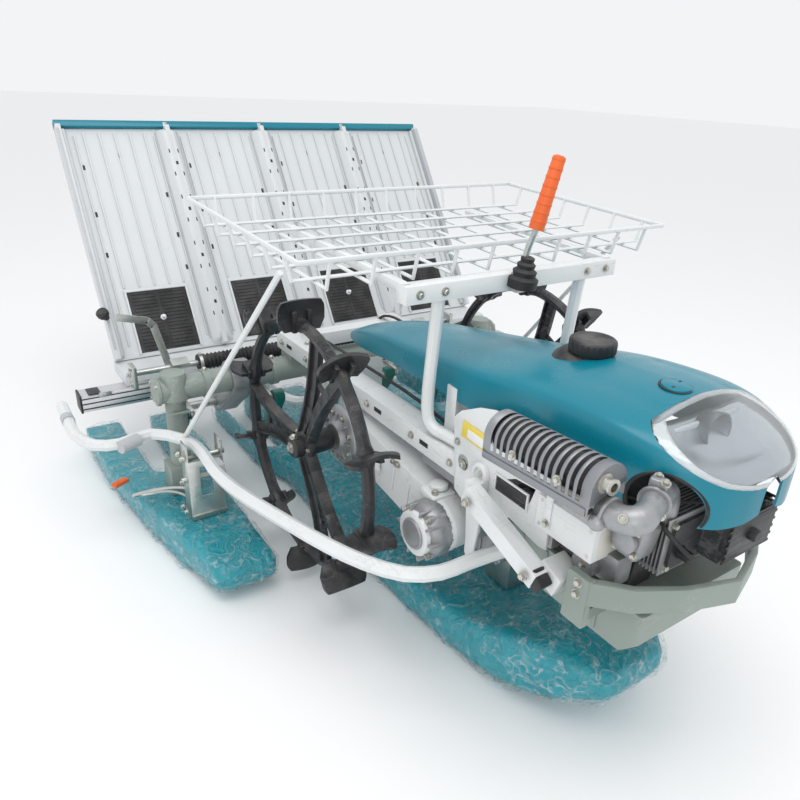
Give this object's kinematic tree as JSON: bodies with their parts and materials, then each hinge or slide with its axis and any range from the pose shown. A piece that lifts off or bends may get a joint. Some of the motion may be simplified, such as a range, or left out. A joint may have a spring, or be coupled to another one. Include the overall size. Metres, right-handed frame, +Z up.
{
  "type": "walk-behind rice transplanter",
  "caption": "Walk-behind rice transplanter with sliding seedling tray, lugged wheels on lift arms, floats, planting arms, engine under a long hood and a wire rack.",
  "frame": {"origin": "on the floor, at the middle of the machine in width and in length, handle grips included", "axes": "+Z up, -Y forward (the engine end), +X to the left of a person walking behind it"},
  "size_m": [1.3912, 2.127, 0.9218],
  "materials": {
    "float_plastic": "blow-moulded plastic, smooth",
    "white_paint": "gloss powder coat",
    "cast_aluminium": "as cast",
    "grey_green_paint": "satin paint",
    "teal_plastic": "gloss moulded plastic",
    "clear_lens": "clear moulded lens",
    "reflector": "metallised bowl",
    "black_plastic": "textured",
    "white_coated_wire": "plastic-coated wire",
    "zinc_plate": "zinc plated",
    "orange_grip": "moulded grip",
    "black_engine": "black enamel",
    "heat_shield": "pressed sheet",
    "extruded_aluminium": "extruded, anodised",
    "black_rubber": "moulded rubber",
    "white_tray": "ribbed moulding",
    "tyre_rubber": "moulded rubber",
    "black_steel": "black paint",
    "green_paint": "gloss paint"
  },
  "bodies": {
    "chassis": {"centre_float": "float_plastic", "side_float_right": "float_plastic", "side_float_left": "float_plastic", "main_frame": "white_paint", "transmission": "cast_aluminium", "cross_tube": "grey_green_paint", "hood": "teal_plastic", "headlight_lens": "clear_lens", "headlight_reflector": "reflector", "fuel_cap": "black_plastic", "rack": "white_coated_wire", "rack_stand": "white_paint", "control_lever": "zinc_plate", "lever_grip": "orange_grip", "engine_block": "black_engine", "front_pan": "grey_green_paint", "bumper": "grey_green_paint", "engine_side_plate": "white_paint", "muffler_shield": "heat_shield", "exhaust_elbow": "cast_aluminium", "slide_rail": "extruded_aluminium", "feed_shaft": "black_rubber", "handlebar_frame": "white_paint", "control_console": "black_plastic", "tray_support": "zinc_plate", "float_post": "zinc_plate", "end_pillar_right": "grey_green_paint", "foot_arm_right": "white_paint", "guard_tube_right": "white_paint", "guard_bracket_right": "zinc_plate", "rack_stay_right": "white_paint", "planting_case_right": "cast_aluminium", "handle_grip_right": "black_rubber", "end_pillar_left": "grey_green_paint", "foot_arm_left": "white_paint", "guard_tube_left": "white_paint", "guard_bracket_left": "zinc_plate", "rack_stay_left": "white_paint", "planting_case_left": "cast_aluminium", "handle_grip_left": "black_rubber"},
    "lift_arm_right": {"swing_case_right": "white_paint", "final_drive_right": "grey_green_paint"},
    "wheel_right": {"wheel_ring_right": "tyre_rubber", "wheel_spider_right": "black_steel"},
    "crank_right": {"crank_shaft_right": "black_steel"},
    "lift_arm_left": {"swing_case_left": "white_paint", "final_drive_left": "grey_green_paint"},
    "wheel_left": {"wheel_ring_left": "tyre_rubber", "wheel_spider_left": "black_steel"},
    "crank_left": {"crank_shaft_left": "black_steel"},
    "tray": {"seedling_tray": "white_tray", "feed_belts": "black_rubber", "tray_top_trim": "teal_plastic"},
    "planter_1": {"planting_arm_1": "green_paint"},
    "planter_2": {"planting_arm_2": "green_paint"},
    "planter_3": {"planting_arm_3": "green_paint"},
    "planter_4": {"planting_arm_4": "green_paint"}
  },
  "joints": [
    {"name": "lift_right", "type": "hinge", "parent": "chassis", "child": "lift_arm_right", "pos_m": [-0.165, -0.6115, 0.295], "axis": [-1, 0, 0], "range_deg": [0, 35]},
    {"name": "wheel_spin_right", "type": "hinge", "parent": "lift_arm_right", "child": "wheel_right", "pos_m": [-0.3, -0.2865, 0.334], "axis": [1, 0, 0], "continuous": true},
    {"name": "lift_left", "type": "hinge", "parent": "chassis", "child": "lift_arm_left", "pos_m": [0.165, -0.6115, 0.295], "axis": [-1, 0, 0], "range_deg": [0, 35]},
    {"name": "wheel_spin_left", "type": "hinge", "parent": "lift_arm_left", "child": "wheel_left", "pos_m": [0.3, -0.2865, 0.334], "axis": [1, 0, 0], "continuous": true},
    {"name": "tray_slide", "type": "slide", "parent": "chassis", "child": "tray", "axis": [1, 0, 0], "range_m": [-0.241, 0.039]},
    {"name": "crank_turn_right", "type": "hinge", "parent": "chassis", "child": "crank_right", "pos_m": [-0.3, 0.1735, 0.25], "axis": [1, 0, 0], "continuous": true},
    {"name": "crank_turn_left", "type": "hinge", "parent": "chassis", "child": "crank_left", "pos_m": [0.3, 0.1735, 0.25], "axis": [1, 0, 0], "continuous": true},
    {"name": "planter_turn_1", "type": "hinge", "parent": "crank_right", "child": "planter_1", "pos_m": [-0.4275, 0.1285, 0.25], "axis": [1, 0, 0], "continuous": true},
    {"name": "planter_turn_2", "type": "hinge", "parent": "crank_right", "child": "planter_2", "pos_m": [-0.1725, 0.1285, 0.25], "axis": [1, 0, 0], "continuous": true},
    {"name": "planter_turn_3", "type": "hinge", "parent": "crank_left", "child": "planter_3", "pos_m": [0.1725, 0.1285, 0.25], "axis": [1, 0, 0], "continuous": true},
    {"name": "planter_turn_4", "type": "hinge", "parent": "crank_left", "child": "planter_4", "pos_m": [0.4275, 0.1285, 0.25], "axis": [1, 0, 0], "continuous": true}
  ],
  "couplings": [
    {"joint": "crank_turn_left", "follows": "crank_turn_right", "ratio": 1},
    {"joint": "planter_turn_1", "follows": "crank_turn_right", "ratio": -1},
    {"joint": "planter_turn_2", "follows": "crank_turn_right", "ratio": -1},
    {"joint": "planter_turn_3", "follows": "crank_turn_right", "ratio": -1},
    {"joint": "planter_turn_4", "follows": "crank_turn_right", "ratio": -1}
  ]
}
